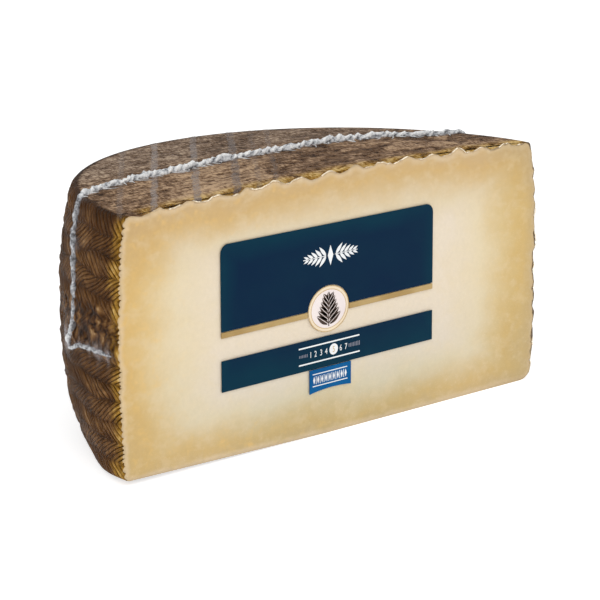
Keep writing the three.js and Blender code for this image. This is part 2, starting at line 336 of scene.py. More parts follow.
def fill_outline(outline, spacing, dense=None):
    """Triangles inside a flat outline, with extra points in staggered rows, closer near its edge if asked."""
    zones = [(spacing, 0, 1e9)]
    if dense:
        step, depth = dense
        zones = [(step, 0, depth), (spacing, depth, 1e9)]
    low, high = outline.min(axis=0), outline.max(axis=0)
    inner = []
    for step, near, far in zones:
        rise = step * TRIANGLE_RISE
        rows = []
        for k, v in enumerate(np.arange(low[1] + rise / 2, high[1], rise)):
            rows.append(with_column(np.arange(low[0] + (k % 2) * step / 2, high[0], step), v))
        spots = np.concatenate(rows)
        gap = distance_to(outline, spots)
        inner.append(spots[inside_of(outline, spots) & (gap > EDGE_GAP) & (gap >= near) & (gap < far)])
    flat = [Vector(p) for p in np.concatenate([outline] + inner).tolist()]
    edges = [(k, (k + 1) % len(outline)) for k in range(len(outline))]
    verts, _, faces, _, _, _ = delaunay_2d_cdt(flat, edges, [], 1, 1e-6)
    return np.array([v[:] for v in verts]), faces


def inside_of(outline, spots):
    result = np.zeros(len(spots), dtype=bool)
    x, y = spots[:, 0], spots[:, 1]
    for (x0, y0), (x1, y1) in zip(outline, np.roll(outline, -1, axis=0)):
        if y0 == y1:
            continue
        crosses = (y0 > y) != (y1 > y)
        result ^= crosses & (x < x0 + (y - y0) * (x1 - x0) / (y1 - y0))
    return result


def distance_to(outline, spots):
    result = np.full(len(spots), 1e9)
    for start, end in zip(outline, np.roll(outline, -1, axis=0)):
        run = end - start
        share = np.clip(((spots - start) @ run) / max(run @ run, 1e-12), 0, 1)
        result = np.minimum(result, np.hypot(*(spots - start - share[:, None] * run).T))
    return result


class Body:
    """Collects the sheets of a closed body, then welds them along their shared borders."""

    def __init__(self):
        self.points = []
        self.faces = []
        self.material = []
        self.values = []
        self.count = 0

    def add(self, points, faces, material, values):
        self.points.append(points)
        self.faces += [[n + self.count for n in face] for face in faces]
        self.material += [material] * len(faces)
        self.values.append(values)
        self.count += len(points)

    def welded(self):
        points = np.concatenate(self.points)
        keys = np.round(points * 2000).astype(np.int64)
        _, first, place = np.unique(keys, axis=0, return_index=True, return_inverse=True)
        place = place.reshape(-1)
        faces = []
        material = []
        for face, index in zip(self.faces, self.material):
            corners = []
            for n in face:
                if place[n] not in corners:
                    corners.append(place[n])
            if len(corners) > 2:
                faces.append(corners)
                material.append(index)
        values = [np.concatenate([v[k] for v in self.values])[first] for k in range(len(self.values[0]))]
        return points[first], faces, material, values


def grid_faces(rows, columns):
    """Four-sided faces of a sheet whose points run along each row in turn."""
    j, i = np.meshgrid(np.arange(rows - 1), np.arange(columns - 1), indexing="ij")
    a = (j * columns + i).reshape(-1)
    return np.column_stack([a, a + 1, a + 1 + columns, a + columns])


def tube_faces(rings, sides, first=0):
    """The faces of a tube made of rings of points, with both of its ends closed."""
    faces = []
    for start in range(first, first + (rings - 1) * sides, sides):
        for i in range(sides):
            j = (i + 1) % sides
            faces.append([start + i, start + j, start + sides + j, start + sides + i])
    last = first + (rings - 1) * sides
    faces.append([first + i for i in range(sides)][::-1])
    faces.append([last + i for i in range(sides)])
    return faces


def side_levels(shares):
    rim = [0.0, 0.25, 0.7, 1.3, 2.0]
    levels = rim + [RIM_HEIGHT - z for z in rim]
    for row in range(PLAIT_ROWS):
        for share in shares:
            z = (row + share) * ROW_HEIGHT
            if 2.3 < z < RIM_HEIGHT - 2.3:
                levels.append(z)
    return np.array(sorted(levels))


def border(side, chosen, key):
    """The points along one border of the side sheet, in order."""
    found = side[chosen]
    return found[np.argsort(key(found))]


def close_body(body, side, faces, values, top_spacing, cut_spacing, top_of, cut_of, grow):
    """Add the top, the cut face and the base to a side sheet that ends at the cut."""
    body.add(side, faces, SIDE, values)
    base_z, top_z = -grow, RIM_HEIGHT + grow
    around = lambda found: np.arctan2(found[:, 1], found[:, 0])
    ring = border(side, np.abs(side[:, 2] - top_z) < 1e-4, around)
    foot = border(side, np.abs(side[:, 2] - base_z) < 1e-4, around)
    on_cut = np.abs(side[:, 1] + grow) < 1e-4
    right = border(side, on_cut & (side[:, 0] > 0), lambda found: found[:, 2])
    left = border(side, on_cut & (side[:, 0] < 0), lambda found: -found[:, 2])
    cut_y = ring[0, 1]

    edge_x = np.linspace(ring[-1, 0], ring[0, 0], int(2 * RADIUS / EDGE_STEP))[1:-1]
    flat, top_faces = fill_outline(np.concatenate([ring[:, :2], with_column(edge_x, cut_y)]), top_spacing)
    height, top_shades = top_of(flat[:, 0], flat[:, 1])
    height = height + grow
    height[: len(ring)] = top_z
    top = np.column_stack([flat, height])
    body.add(top, top_faces, TOP, top_shades)
    top_edge = top[len(ring) : len(ring) + len(edge_x)]

    base_edge = with_column(np.linspace(left[-1, 0], right[0, 0], 90)[1:-1], cut_y)
    cut_line = np.concatenate([right, top_edge[::-1], left, with_column(base_edge, base_z)])[:, [0, 2]]
    flat, cut_faces = fill_outline(cut_line, cut_spacing, dense=(CUT_EDGE_SPACING, CUT_EDGE_DEPTH))
    body.add(np.insert(flat, 1, cut_y, axis=1), cut_faces, CUT, cut_of(cut_line, flat))

    flat, base_faces = fill_outline(np.concatenate([foot[:, :2], base_edge]), BASE_SPACING)
    still = [np.full(len(flat), 0.35 if k == 0 else 0.0) for k in range(len(values))]
    body.add(with_column(flat, base_z), [face[::-1] for face in base_faces], BASE, still)


def strand_relief(along, row, across, place, deep):
    """The single strands: deep where the cut crosses them on the left, nearly gone on the right."""
    chance = hashed(np.floor(place / STRAND_COLUMNS), row, 2)
    profile = STRAND_PROFILE[np.mod(place, STRAND_COLUMNS).astype(int)]
    meet = smooth(np.minimum(across, 1 - across) / 0.12 + 0.15)
    depth = mix(STRAND_DEPTH, STRAND_DEPTH_AT_CUT, smooth(1 - (math.pi * RADIUS - along) / 5))
    depth = mix(depth, 0.06, smooth(1.3 - along / RADIUS / 0.12))
    return depth * meet * (0.5 + 0.6 * chance) * (profile - 0.75) * mix(1.0, 0.35, deep)


def side_shades(along, z, across, height, block, deep):
    """The side's tone, with painted shade in the valleys and at the joins between rows and in the gaps
    between bundles, a painted shadow under the seam's fold, darker near the top rim, high on the left,
    towards the bottom and behind, and its ochre beside the cut.
    """
    fresh = np.maximum(smooth(0.6 + 0.75 * noise(along / 12, z / 8, 9)), 0.9 * np.exp(-height / 9))
    # Painted shade: darker in the valleys between rows
    tone = 0.08 + 0.46 * mix(0.6, 1.0, fresh) * mix(0.62, 1.0, ridge_of(across))
    tone = tone + 0.08 * noise(along / 6, z / 5, 11)
    # The block factor gives each bundle its tone and painted shade in the gaps between bundles; the last
    # factor is painted shade at the joins between rows
    tone = tone * mix(0.66, 1.3, block) * mix(0.8, 1.0, smooth(np.minimum(across, 1 - across) / 0.14))
    tone = tone * mix(1.0, 0.72, smooth((z - RIM_HEIGHT + 7) / 5)) + 0.16 * deep
    tone = tone * mix(0.86, 1.0, smooth(z / 30)) * mix(1.0, 0.74, smooth((height - 27) / 14))
    upper = hump(z, 82, 9) * smooth((along - 268) / 8) * smooth((height - 9) / 6)
    # Painted shadow under the seam's fold, low on the left
    under_fold = hump(z, 39.3, 1.6) * smooth((along - 272) / 6) * smooth((290 - along) / 5)
    tone = tone * (1 - 0.1 * upper) * (1 - 0.9 * under_fold)
    wide = mix(9.5, 5.8, smooth(z / 16))
    ochre = 0.95 * smooth(1.1 - (height - 0.6) / wide + 0.5 * noise(along / 3, z / 5, 12))
    return tone + 0.16 * ochre, ochre


def side_sheet():
    """The plaited side: its columns of points follow the slanting strands, row by row."""
    levels = side_levels([0.0, 0.1, 0.34, 0.66, 0.9])
    step = STRAND_PITCH / STRAND_COLUMNS
    drift = lean(*row_of(levels))
    first = int((-3 - drift.max()) / step)
    last = int((math.pi * RADIUS + 4 - drift.min()) / step)
    z, column = np.meshgrid(levels, np.arange(first, last), indexing="ij")
    row, across = row_of(z)
    along = column * step + lean(row, across)
    along = along + 0.9 * noise(along / 12, z / 8, 1)
    angle = along / RADIUS

    place = column + np.floor(STRAND_COLUMNS * hashed(row, 5, 4))
    group = place / STRAND_COLUMNS / BUNDLE_STRANDS + hashed(row, 6, 14)
    bundle = smooth(np.abs(2 * (group - np.floor(group)) - 1) * 1.6) * -2 + 1
    # Each bundle has a tone of its own, pulled down to 0.35 at its borders: painted shade in the gaps between
    # bundles
    block = mix(hashed(np.floor(group), row, 15), 0.35, smooth(0.4 - 0.4 * bundle))
    deep = crushed(along, z)
    coarse = rows_relief(along, z, across) + 0.18 * noise(along / 4, z / 3, 7)
    coarse = coarse + BUNDLE_DEPTH * ridge_of(across) * bundle * (1 - deep)
    coarse = coarse + deep * CRUMPLE_HEIGHT * crumples(along, z) + right_waves(angle, z)
    fine = strand_relief(along, row, across, place, deep)
    relief = within_rims(z, 3) * coarse + within_rims(z, 1.2) * fine

    radius = side_radius(np.clip(angle, -0.12, math.pi + 0.12), z) + relief
    level = z + wander(along, z)
    points = np.stack([radius * np.cos(angle), radius * np.sin(angle), level], axis=-1).reshape(-1, 3)
    tone, ochre = side_shades(along, z, across, np.maximum(radius * np.sin(angle), 0), block, deep)
    contrast = mix(0.45, 1.0, block)
    values = [tone, ochre, contrast, np.zeros_like(tone), place / STRAND_COLUMNS, deep]
    return points, grid_faces(*z.shape), [value.reshape(-1) for value in values]


def seam_line(x):
    """How far behind the cut the gathered seam crosses the top."""
    path, _ = seam_path(1.0)
    path = path[(path[:, 2] > RIM_HEIGHT - 0.5) & (np.abs(path[:, 0]) < 90)]
    order = np.argsort(path[:, 0])
    return np.interp(x, path[order, 0], path[order, 1])


def top_values(x, y):
    """The top's height and shade: cloth marks, pits, a ragged edge, and the shade in front of the seam."""
    height = top_height(x, y)
    blotch = noise(x / 6 + y / 5, y / 3.5 - x / 9, 21) * smooth((x + 70) / 60)
    pit = np.maximum(noise(x / 2.6, y / 2.2, 22) - 0.35, 0)
    inside = smooth((96 - np.hypot(x, y)) / 8) * smooth(y / 3)
    height = height + inside * (0.2 * blotch - 0.5 * pit + 0.12 * noise(x / 5, y / 1.3, 23))
    ragged = 0.34 * ripple(x, 1.6, 27) + 0.45 * ripple(x, 5.3, 28)
    height = height + ragged * np.exp(-y / 1.5) * smooth((96 - np.abs(x)) / 4)
    valley = smooth(0.55 - 1.1 * scallop(x, 0) + 0.6 * noise(x / 2.1, y / 2, 24))
    ochre = smooth(1.3 - y / 8) * mix(0.45, 0.85, valley) * smooth((x + 92) / 8)
    notch = smooth(1.1 - y / 1.6) * smooth(0.4 + 1.4 * noise(x / 2.4, y / 1.5, 26)) * valley
    left_end = smooth((-60 - x) / 8) * smooth(1.3 - y / 6) * smooth(0.5 + 1.2 * noise(x / 3.4, y / 3, 29))
    notch = np.maximum(0.6 * notch, 0.7 * left_end)
    lit = hump(x - BAND_SLANT * y, -61, 21) * smooth((y - 1) / 5) * smooth((46 - y) / 10)
    rim = 0.16 * ochre + 0.1 * smooth((x - 15) / 20) * smooth(1.3 - y / 12)
    back = smooth((y - 48) / 12)
    seam = seam_line(x) - y
    shade = 0.14 * smooth(seam + 0.2) * np.exp(-np.maximum(seam, 0) / 4) * smooth((x + 62) / 12)
    cloth = 0.2 * blotch - 0.7 * pit + 0.12 * noise(x / 8, y / 1.6, 25)
    tone = 0.57 + cloth * mix(1.0, 0.6, back) - 0.5 * notch + 0.28 * lit + rim - shade
    tone = tone + 0.1 * back * smooth(-x / 40)
    blank = np.zeros(len(x))
    return height, [tone, ochre, blank, blank, blank, blank]


def cut_values(outline, flat):
    """The paste's shade by its depth inside the rind."""
    edge = distance_to(outline, flat)
    squeeze = np.array([1.0, BAND_SQUEEZE])
    depth = distance_to(outline * squeeze, flat * squeeze)
    blank = np.zeros(len(flat))
    return [blank + 0.5, blank, depth, edge, blank, blank]


def build_half_wheel():
    points, faces, values = clip_at_cut(*side_sheet())
    body = Body()
    close_body(body, points, faces, values, 1.1, 3.2, top_values, cut_values, 0.0)
    points, faces, material, values = body.welded()
    materials = [side_material(), top_material("rind_top"), paste_material(), top_material("rind_base")]
    piece = new_object("half_wheel", raise_foot(points), faces, materials, material)
    # On the side, depth is the contrast between the strands
    for name, value in zip(["tone", "ochre", "depth", "edge", "strand", "crushed"], values):
        set_attribute(piece, name, value)
    return piece


# Materials


def srgb(red, green, blue):
    """A colour as the eye reads it, 0 to 255, turned into the renderer's own scale."""
    def linear(value):
        value = value / 255
        return value / 12.92 if value <= 0.04045 else ((value + 0.055) / 1.055) ** 2.4
    return (linear(red), linear(green), linear(blue), 1.0)


class Shader:
    """A small helper that writes a material's nodes."""

    def __init__(self, name):
        self.material = bpy.data.materials.new(name)
        self.material.use_nodes = True
        self.tree = self.material.node_tree
        self.tree.nodes.clear()
        self.coordinate = None

    def add(self, kind, settings=None, **inputs):
        node = self.tree.nodes.new("ShaderNode" + kind)
        for key, value in (settings or {}).items():
            setattr(node, key, value)
        for key, value in inputs.items():
            self.put(node.inputs[key.replace("_", " ")], value)
        return node

    def put(self, socket, value):
        if isinstance(value, bpy.types.NodeSocket):
            self.tree.links.new(value, socket)
        else:
            socket.default_value = value

    def spot(self):
        """Object coordinates, in metres."""
        if self.coordinate is None:
            self.coordinate = self.add("TexCoord").outputs["Object"]
        return self.coordinate

    def place(self, scale):
        """Object coordinates, stretched so that a unit of noise is this many millimetres."""
        node = self.add("Mapping", Vector=self.spot())
        node.inputs["Scale"].default_value = [1000 / s for s in scale]
        return node.outputs["Vector"]

    def part(self, axis):
        """One coordinate of the place, in millimetres."""
        return self.times(self.add("SeparateXYZ", Vector=self.spot()).outputs[axis], 1 / MM)

    def joined(self, x, y, z=0.0):
        node = self.add("CombineXYZ")
        for socket, value in zip(node.inputs, (x, y, z)):
            self.put(socket, value)
        return node.outputs[0]

    def attribute(self, name):
        return self.add("Attribute", {"attribute_name": name}).outputs["Fac"]

    def noise(self, scale, detail=3.0, roughness=0.55):
        node = self.add("TexNoise", Vector=self.place(scale), Scale=1.0, Detail=detail, Roughness=roughness)
        return node.outputs["Fac"]

    def math(self, operation, a, b=0.0, clamp=False):
        node = self.add("Math", {"operation": operation, "use_clamp": clamp})
        self.put(node.inputs[0], a)
        self.put(node.inputs[1], b)
        return node.outputs[0]

    def plus(self, a, b, clamp=False):
        return self.math("ADD", a, b, clamp)

    def minus(self, a, b):
        return self.math("SUBTRACT", a, b)

    def times(self, a, b, clamp=False):
        return self.math("MULTIPLY", a, b, clamp)

    def between(self, share, first, second):
        return self.plus(self.times(first, self.minus(1.0, share)), self.times(second, share))

    def swing(self, value, reach):
        """A noise turned into a shift of this much either way."""
        return self.spread(value, 0.3, 0.7, -reach, reach)

    def fade(self, value, start, end):
        """1 up to the start and 0 from the end."""
        return self.spread(value, start, end, 1.0, 0.0)

    def spread(self, value, low, high, to_low=0.0, to_high=1.0):
        node = self.add("MapRange", {"clamp": True})
        self.put(node.inputs["Value"], value)
        for key, number in zip(["From Min", "From Max", "To Min", "To Max"], [low, high, to_low, to_high]):
            self.put(node.inputs[key], number)
        return node.outputs["Result"]

    def ramp(self, value, *stops):
        node = self.add("ValToRGB", Fac=value)
        band = node.color_ramp
        while len(band.elements) < len(stops):
            band.elements.new(0.5)
        for element, (place, colour) in zip(band.elements, stops):
            element.position = place
            element.color = srgb(*colour)
        return node.outputs["Color"]

    def blend(self, share, first, second, kind="MIX"):
        node = self.add("Mix", {"data_type": "RGBA", "blend_type": kind})
        self.put(node.inputs[0], share)
        self.put(node.inputs[6], first)
        self.put(node.inputs[7], second)
        return node.outputs[2]

    def bump(self, height, distance, strength=1.0):
        node = self.add("Bump", Height=height, Distance=distance * MM, Strength=strength)
        return node.outputs["Normal"]

    def surface(self, colour, roughness, normal, **inputs):
        return self.add("BsdfPrincipled", Base_Color=colour, Roughness=roughness, Normal=normal, **inputs)

    def mixed(self, share, first, second):
        node = self.add("MixShader")
        for socket, value in zip(node.inputs, (share, first.outputs[0], second.outputs[0])):
            self.put(socket, value)
        return node

    def finish(self, surface):
        output = self.add("OutputMaterial")
        self.tree.links.new(surface.outputs[0], output.inputs["Surface"])
        return self.material


def rind_surface(shader, tone, brown, grain, distance):
    """Brown rind that turns gold where the cut lays it open."""
    gold = shader.ramp(
        tone, (0.0, (50, 30, 6)), (0.3, (114, 80, 24)), (0.62, (164, 124, 52)), (1.0, (218, 186, 118))
    )
    colour = shader.blend(shader.spread(shader.attribute("ochre"), 0.05, 0.95), brown, gold)
    roughness = shader.spread(grain, 0.3, 0.7, 0.55, 0.8)
    normal = shader.bump(grain, distance, 0.9)
    return shader.finish(shader.surface(colour, roughness, normal, Specular_IOR_Level=0.04))


def crumple_shade(shader):
    """Rounded lumps with painted shade darkening them towards the creases between them, each lump with a tone
    of its own.
    """
    cells = shader.place((8.0, 4.4, 6.5))
    crease = shader.add("TexVoronoi", {"feature": "DISTANCE_TO_EDGE"}, Vector=cells, Scale=1.0)
    body = shader.add("TexVoronoi", {"feature": "F1"}, Vector=cells, Scale=1.0)
    chance = shader.add("SeparateColor", Color=body.outputs["Color"]).outputs[0]
    # Painted shade: each lump darkens towards the creases around it
    lump = shader.spread(crease.outputs["Distance"], 0.0, 0.34)
    lump = shader.times(lump, shader.spread(chance, 0.0, 1.0, 0.5, 0.72))
    return shader.plus(lump, shader.spread(shader.noise((1.4, 1.4, 2.2), 3.0), 0.3, 0.7, -0.12, 0.24))


def side_material():
    """Plaited rind: each strand has its own tone, fine fibres and painted shade in the gap beside it."""
    shader = Shader("rind_side")
    place = shader.attribute("strand")
    level = shader.times(shader.part("Z"), 1 / ROW_HEIGHT)
    row = shader.math("FLOOR", level)
    strand = shader.joined(shader.math("FLOOR", place), row)
    chance = shader.add("TexWhiteNoise", {"noise_dimensions": "2D"}, Vector=strand).outputs["Value"]
    beside = shader.math("ABSOLUTE", shader.minus(shader.math("FRACT", place), 0.5))
    # Painted shade in the gap beside each strand
    gap = shader.spread(beside, 0.3, 0.45)
    lines = shader.joined(shader.times(place, 3.6), shader.times(level, 0.8), row)
    fibre = shader.add("TexNoise", Vector=lines, Scale=1.0, Detail=2.0, Roughness=0.5).outputs["Fac"]
    grain = shader.noise((1.7, 1.7, 2.2), 3.0, 0.65)
    shade = shader.plus(shader.spread(chance, 0.0, 1.0, -0.2, 0.2), shader.swing(fibre, 0.42))
    shade = shader.minus(shade, shader.times(gap, 0.7))
    close = shader.spread(shader.attribute("ochre"), 0.0, 0.8, 0.7, 1.15)
    shade = shader.times(shader.times(shade, close), shader.attribute("depth"))
    shade = shader.plus(shade, shader.swing(grain, 0.34))
    plait = shader.times(shader.attribute("tone"), shader.plus(1.0, shade))

    crumple = crumple_shade(shader)
    share = shader.spread(shader.attribute("crushed"), 0.25, 0.7)
    wide = shader.swing(shader.noise((16, 16, 12), 2.0), 0.06)
    tone = shader.plus(shader.between(share, plait, crumple), wide, clamp=True)
    brown = shader.ramp(
        tone, (0.0, (28, 15, 6)), (0.3, (78, 50, 25)), (0.62, (126, 91, 55)), (1.0, (192, 162, 118))
    )
    height = shader.between(share, shader.minus(fibre, gap), crumple)
    return rind_surface(shader, tone, brown, height, 0.35)


def top_material(name):
    """Rind pressed against cloth: fine lines that run with the cut, flecks and broad clouds."""
    shader = Shader(name)
    lines = shader.noise((5.0, 1.7, 3.0), 3.0, 0.6)
    fleck = shader.noise((0.9, 2.0, 1.4), 3.0, 0.65)
    wide = shader.noise((13, 11, 9), 3.0)
    tone = shader.plus(shader.attribute("tone"), shader.spread(lines, 0.36, 0.64, -0.14, 0.14))
    tone = shader.plus(tone, shader.spread(fleck, 0.36, 0.64, -0.26, 0.26))
    tone = shader.plus(tone, shader.swing(wide, 0.14), clamp=True)
    brown = shader.ramp(
        tone, (0.0, (42, 28, 20)), (0.33, (86, 67, 52)), (0.62, (126, 104, 86)), (1.0, (196, 174, 150))
    )
    brown = shader.blend(shader.fade(shader.part("Y"), -10, 10), brown, srgb(254, 242, 226), "MULTIPLY")
    return rind_surface(shader, tone, brown, shader.plus(lines, fleck), 0.22)


def warped_depth(shader, cloud):
    """The depth inside the rind, shifted to make the gold band wide and narrow in turn."""
    level, beside = shader.part("Z"), shader.part("X")
    depth = shader.plus(shader.attribute("depth"), shader.swing(shader.noise((26, 26, 20), 3.0), 4.5))
    depth = shader.plus(depth, shader.swing(cloud, 1.8))
    middle = shader.times(shader.spread(level, 12, 35), shader.fade(level, 58, 80))
    wider = shader.times(middle, shader.spread(beside, -75, -45, 7.5, 0.0))
    crown = shader.times(shader.spread(level, 68, 84), shader.spread(beside, -60, -30, 3.2, 0.0))
    narrow = shader.times(shader.fade(level, 18, 36), shader.spread(beside, 50, 75, 0.0, 6.5))
    shoulder = shader.times(shader.spread(level, 66, 82), shader.spread(beside, 50, 75, 0.0, 4.5))
    depth = shader.plus(depth, shader.minus(wider, crown))
    return shader.minus(depth, shader.plus(narrow, shoulder))


def rind_line(shader, edge, curd, level, open_side):
    """The broken dark line of rind along the edge of the paste, plainest on the right."""
    share = shader.spread(open_side, 0.0, 1.0, 0.15, 0.95)
    patchy = shader.times(shader.spread(shader.noise((6, 6, 6), 2.0), 0.42, 0.62, -0.45, 0.6), share)
    uneven = shader.minus(shader.plus(edge, shader.swing(curd, 0.35)), patchy)
    skin = shader.times(shader.fade(uneven, 0.2, 0.7), shader.spread(level, 4, 16))
    return shader.times(skin, share)


def paste_material():
    """Cheese paste: ivory in the middle, a gold band, and a pale lip under the rind."""
    shader = Shader("paste")
    level, beside = shader.part("Z"), shader.part("X")
    depth, edge = shader.attribute("depth"), shader.attribute("edge")
    cloud = shader.noise((9, 9, 7), 4.0)
    curd = shader.noise((3.2, 3.2, 2.6), 3.0)
    fine = shader.noise((1.6, 1.6, 1.6), 4.0, 0.7)
    colour = shader.ramp(
        shader.math("DIVIDE", warped_depth(shader, cloud), 50.0),
        (0.0, (201, 172, 122)),
        (0.17, (205, 173, 115)),
        (0.36, (209, 184, 137)),
        (0.6, (216, 200, 167)),
        (0.95, (219, 205, 184)),
    )
    open_side = shader.spread(beside, 70, 90)
    foot = shader.times(shader.fade(level, 12, 30), shader.spread(beside, -60, -30))
    tints = [
        (shader.spread(level, 68, 88, 0.0, 0.8), (241, 238, 243)),
        (shader.fade(level, 2, 45), (240, 244, 250)),
        (open_side, (247, 248, 241)),
        (shader.fade(beside, -94, -74), (253, 250, 240)),
        (shader.times(foot, shader.fade(beside, 30, 60)), (244, 248, 251)),
    ]
    for share, tint in tints:
        colour = shader.blend(share, colour, srgb(*tint), "MULTIPLY")
    clump = shader.noise((6.0, 6.0, 4.5), 4.0, 0.6)
    curds = shader.times(shader.spread(curd, 0.5, 0.72, 0.0, 0.4), shader.spread(clump, 0.4, 0.62, 0.1, 1.0))
    curds = shader.times(curds, shader.spread(depth, 4.0, 34.0, 1.0, 0.1))
    curds = shader.times(curds, shader.spread(beside, -40, 20, 1.0, 0.3))
    colour = shader.blend(curds, colour, srgb(228, 188, 112))
    colour = shader.blend(shader.spread(clump, 0.36, 0.5, 0.22, 0.0), colour, srgb(216, 198, 164))
    lip = shader.spread(shader.plus(edge, shader.swing(cloud, 0.7)), 0.8, 2.3, 0.5, 0.0)
    colour = shader.blend(lip, colour, srgb(209, 188, 158))
    rim = shader.times(shader.spread(edge, 0.5, 6.0, 0.6, 0.0), open_side)
    colour = shader.blend(rim, colour, srgb(178, 154, 112))
    colour = shader.blend(rind_line(shader, edge, curd, level, open_side), colour, srgb(84, 62, 34))
    speck = shader.spread(fine, 0.3, 0.7, 0.97, 1.03)
    grey = shader.add("CombineColor", Red=speck, Green=speck, Blue=speck).outputs[0]
    colour = shader.blend(1.0, colour, grey, "MULTIPLY")
    roughness = shader.spread(fine, 0.3, 0.7, 0.42, 0.55)
    normal = shader.bump(shader.plus(fine, cloud), 0.08, 0.6)
    return shader.finish(shader.surface(colour, roughness, normal, Specular_IOR_Level=0.2))


def clear_film(shader):
    """Film that shows only where it is seen nearly edge on."""
    normal = shader.bump(shader.noise((5.0, 5.0, 5.0), 4.0, 0.6), 0.5, 0.8)
    facing = shader.add("LayerWeight", Blend=0.5, Normal=normal).outputs["Facing"]
    sheen = shader.plus(shader.times(shader.math("POWER", facing, 6.0), 0.05), 0.0018)
    gloss = shader.add("BsdfGlossy", Roughness=0.2, Normal=normal)
    return shader.mixed(sheen, shader.add("BsdfTransparent"), gloss)


def stretch_bands(shader, across):
    """Milky bands over the top, by the place where each one's line meets the cut."""
    start = BAND_PLACES[0][0] - 10
    reach = BAND_PLACES[-1][0] + 10 - start
    black = (0, 0, 0)
    stops = [(0.0, black)]
    for middle, half, strength in BAND_PLACES:
        shade = (strength, strength, strength)
        edges = [(-half - 0.5, black), (-half + 0.2, shade), (half - 0.2, shade), (half + 0.5, black)]
        stops += [((middle + offset - start) / reach, colour) for offset, colour in edges]
    band = shader.ramp(shader.math("DIVIDE", shader.minus(across, start), reach), *stops)
    on_top = shader.spread(shader.part("Z"), RIM_HEIGHT - 1.5, RIM_HEIGHT + 0.2)
    behind = shader.spread(shader.part("Y"), AXIS[1] - 0.1, AXIS[1] + 0.5)
    return shader.times(band, shader.times(on_top, behind))


def film_material():
    """Clear film: nearly invisible, milky where it is gathered, in a painted sheen beside the seam's fold,
    and in pale bands over the top.
    """
    shader = Shader("clear_film")
    haze = shader.attribute("haze")
    slanted = shader.minus(shader.part("X"), shader.times(shader.part("Y"), BAND_SLANT))
    sway = shader.swing(shader.noise((9.0, 9.0, 9.0), 2.0), 0.6)
    across = shader.plus(shader.plus(slanted, sway), AXIS[1] * BAND_SLANT - AXIS[0])
    fine = shader.noise((3.0, 1.3, 1.2), 3.0)
    broken = shader.spread(fine, 0.35, 0.65, 0.5, 1.25)
    milk = shader.times(stretch_bands(shader, across), broken)
    gathered = shader.times(haze, broken)
    tint = shader.blend(shader.fade(across, -78, -55), srgb(126, 108, 98), srgb(172, 158, 150))
    tint = shader.blend(shader.spread(haze, 0.05, 0.3), tint, srgb(180, 174, 178))
    milky = shader.surface(tint, 0.35, shader.bump(fine, 0.3, 0.8))
    share = shader.math("MAXIMUM", gathered, milk, clamp=True)
    return shader.finish(shader.mixed(share, clear_film(shader), milky))


def seam_material():
    """Crumpled whitish film, with painted highlights on its folds and painted blue-grey shade in the hollows
    between them.
    """
    shader = Shader("gathered_film")
    fine = shader.noise((0.8, 0.8, 0.8), 3.0, 0.6)
    share = shader.plus(shader.attribute("fold"), shader.swing(fine, 0.22), clamp=True)
    colour = shader.ramp(
        share, (0.0, (84, 84, 86)), (0.3, (150, 152, 156)), (0.6, (212, 214, 216)), (1.0, (252, 252, 250))
    )
    alpha = shader.spread(share, 0.0, 0.3, 0.6, 1.0)
    return shader.finish(shader.surface(colour, 0.2, shader.bump(fine, 0.4, 1.0), Alpha=alpha))


def glint_material():
    """The film's folded edge, a pale painted glint that shows only where the glint value lets it."""
    shader = Shader("film_glint")
    fine = shader.noise((1.0, 1.0, 1.0), 2.0)
    broken = shader.spread(fine, 0.35, 0.6, 0.55, 1.4)
    alpha = shader.times(shader.attribute("glint"), broken, clamp=True)
    normal = shader.bump(fine, 0.1, 0.8)
    return shader.finish(shader.surface(srgb(250, 234, 206), 0.25, normal, Alpha=alpha))


def print_material(name, first, second):
    """Ink on film: two close shades in broad clouds under a faint gloss."""
    shader = Shader(name)
    cloud = shader.noise((14, 14, 10), 2.0)
    return ink_surface(shader, shader.ramp(cloud, (0.35, first), (0.65, second)))


def ink_surface(shader, colour):
    fine = shader.noise((0.5, 0.5, 0.5), 2.0)
    roughness = shader.spread(fine, 0.3, 0.7, 0.27, 0.4)
    normal = shader.bump(fine, 0.02, 0.5)
    return shader.finish(shader.surface(colour, roughness, normal, Specular_IOR_Level=0.04))


def navy_material():
    """Dark blue ink, greener where it thins out towards the borders of the label."""
    shader = Shader("navy_ink")
    cloud = shader.noise((20, 20, 16), 2.0)
    x, z = shader.part("X"), shader.part("Z")
    middle_x = LABEL_X + AXIS[0]
    left = shader.minus(x, middle_x - LABEL_WIDTH / 2)
    right = shader.minus(middle_x + LABEL_WIDTH / 2, x)
    top = shader.minus(LABEL_Z + LABEL_HEIGHT / 2, z)
    low = shader.times(shader.minus(z, LABEL_Z - LABEL_HEIGHT / 2), 0.55)
    sides = shader.math("MINIMUM", left, right)
    rim = shader.math("MINIMUM", sides, shader.math("MINIMUM", top, low))
    rim = shader.plus(rim, shader.swing(cloud, 2.0))
    middle = shader.ramp(cloud, (0.35, (4, 33, 59)), (0.65, (5, 37, 60)))
    return ink_surface(shader, shader.blend(shader.fade(rim, 0.5, 7.0), middle, srgb(4, 46, 64)))


def floor_material():
    shader = Shader("pale_floor")
    colour = shader.ramp(shader.noise((3, 3, 3), 2.0), (0.3, (206, 206, 206)), (0.7, (208, 208, 208)))
    glow = srgb(248, 248, 248)
    surface = shader.add(
        "BsdfPrincipled", Base_Color=colour, Roughness=0.9, Emission_Color=glow, Emission_Strength=0.72
    )
    return shader.finish(surface)


# The film


